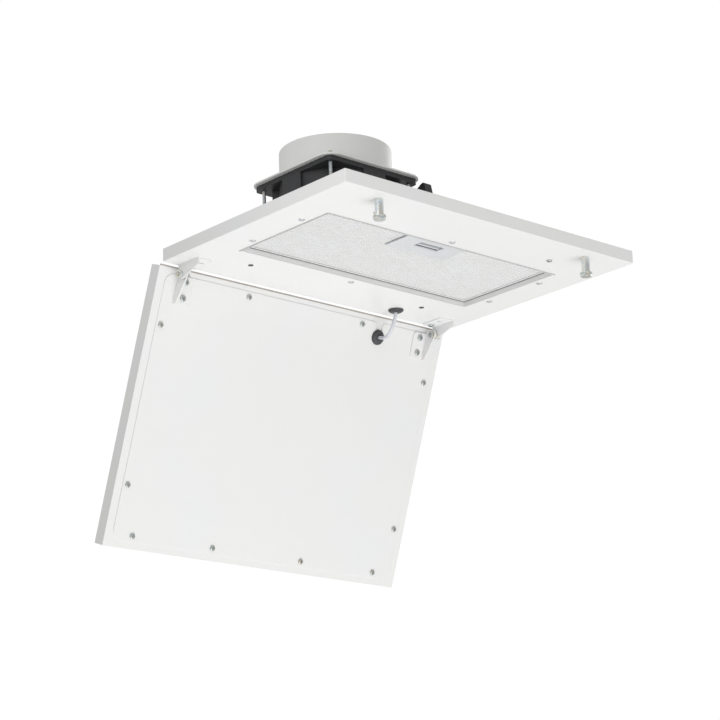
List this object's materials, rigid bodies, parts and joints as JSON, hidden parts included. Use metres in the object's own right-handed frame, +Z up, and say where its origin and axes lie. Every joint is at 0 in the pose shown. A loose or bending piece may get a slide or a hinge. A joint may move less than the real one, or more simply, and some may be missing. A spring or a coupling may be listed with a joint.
{
  "type": "under cabinet range hood",
  "caption": "Slim white under cabinet range hood: sheet-steel base with grease filter, hinged suction door, axial fan and round duct spigot on top.",
  "frame": {"origin": "centre of the plane of the base panel's upper rim, which meets the cabinet", "axes": "+Z up into the cabinet and along the duct spigot, +Y towards the door's hinges, X along the long edge"},
  "size_m": [0.4, 0.4081, 0.3794],
  "materials": {
    "white_enamel": "smooth white powder coat, light orange peel",
    "white_rivet": "white painted heads",
    "zinc": "bright zinc plate",
    "magnet_nickel": "nickel plate",
    "duct_grey": "light grey moulded plastic",
    "fan_black": "dark grey moulded plastic",
    "steel_core": "plain steel",
    "filter_aluminium": "expanded aluminium mesh",
    "latch_grey": "light grey moulded plastic",
    "grommet_rubber": "soft dark rubber",
    "lead_grey": "smooth pale grey sheath",
    "lead_black": "black sheath",
    "grey_plastic": "grey moulded plastic",
    "circuit_board": "green laminate",
    "switch_black": "black moulded plastic",
    "fascia_white": "smooth white plastic",
    "light_rim": "satin steel",
    "light_lens": "frosted diffuser"
  },
  "bodies": {
    "base": {"base_panel": "white_enamel", "filter_housing": "white_enamel", "housing_top": "white_enamel", "hinge_base_brackets": "white_enamel", "housing_rivets": "white_rivet", "fixing_screws": "white_rivet", "spacer_sleeves": "zinc", "spacer_washers": "zinc", "spacer_bolts": "zinc", "spacer_nuts": "zinc", "hinge_foot_screws": "zinc", "hinge_foot_nuts": "zinc", "pivot_screws": "zinc", "pivot_nuts": "zinc", "pivot_washers": "zinc", "threaded_rods": "zinc", "rod_nuts": "zinc", "catch_magnets": "magnet_nickel", "duct_plate": "duct_grey", "duct_spigot": "duct_grey", "fan_lower_frame": "fan_black", "fan_barrel": "fan_black", "fan_upper_frame": "fan_black", "fan_plug": "fan_black", "fan_stator": "steel_core", "fan_bearings": "steel_core", "latch_spring": "steel_core", "filter_frame": "filter_aluminium", "filter_lower_mesh": "filter_aluminium", "filter_core_mesh": "filter_aluminium", "filter_upper_mesh": "filter_aluminium", "latch_plate": "latch_grey", "base_grommet": "grommet_rubber", "door_lead": "lead_grey", "fan_lead": "lead_black", "terminal_cover": "grey_plastic", "terminal_block": "grey_plastic", "mains_bush": "grey_plastic", "lead_clamp": "grey_plastic"},
    "door": {"door_shell": "white_enamel", "door_cover": "white_enamel", "cover_screws": "zinc", "hinge_door_brackets": "white_enamel", "hinge_door_screws": "zinc", "hinge_backing_plates": "zinc", "door_grommet": "grommet_rubber", "light_bezels": "light_rim", "light_lenses": "light_lens", "light_boards": "circuit_board", "control_fascia": "fascia_white", "control_board": "circuit_board", "switches": "switch_black", "light_driver": "grey_plastic"},
    "fan_rotor": {"fan_impeller": "fan_black", "rotor_cage": "steel_core", "fan_shaft": "steel_core"},
    "latch": {"latch_slider": "latch_grey"},
    "button_1": {"button_1": "fascia_white"},
    "button_2": {"button_2": "fascia_white"},
    "button_3": {"button_3": "fascia_white"}
  },
  "joints": [
    {"name": "door_swing", "type": "hinge", "parent": "base", "child": "door", "pos_m": [0, 0.14, -0.0249], "axis": [-1, 0, 0], "range_deg": [0, 110.1], "deforming": ["door_lead"]},
    {"name": "fan_spin", "type": "hinge", "parent": "base", "child": "fan_rotor", "pos_m": [-0.086, 0, 0.035], "axis": [0, 0, 1], "continuous": true},
    {"name": "latch_slide", "type": "slide", "parent": "base", "child": "latch", "axis": [0, 1, 0], "range_m": [0, 0.004], "stiffness_N_per_m": 400, "springref_m": -0.002, "deforming": ["latch_spring"]},
    {"name": "button_1_press", "type": "slide", "parent": "door", "child": "button_1", "axis": [0, -0.9391, -0.3437], "range_m": [0, 0.001], "stiffness_N_per_m": 800, "springref_m": -0.0008},
    {"name": "button_2_press", "type": "slide", "parent": "door", "child": "button_2", "axis": [0, -0.9391, -0.3437], "range_m": [0, 0.001], "stiffness_N_per_m": 800, "springref_m": -0.0008},
    {"name": "button_3_press", "type": "slide", "parent": "door", "child": "button_3", "axis": [0, -0.9391, -0.3437], "range_m": [0, 0.001], "stiffness_N_per_m": 800, "springref_m": -0.0008}
  ]
}
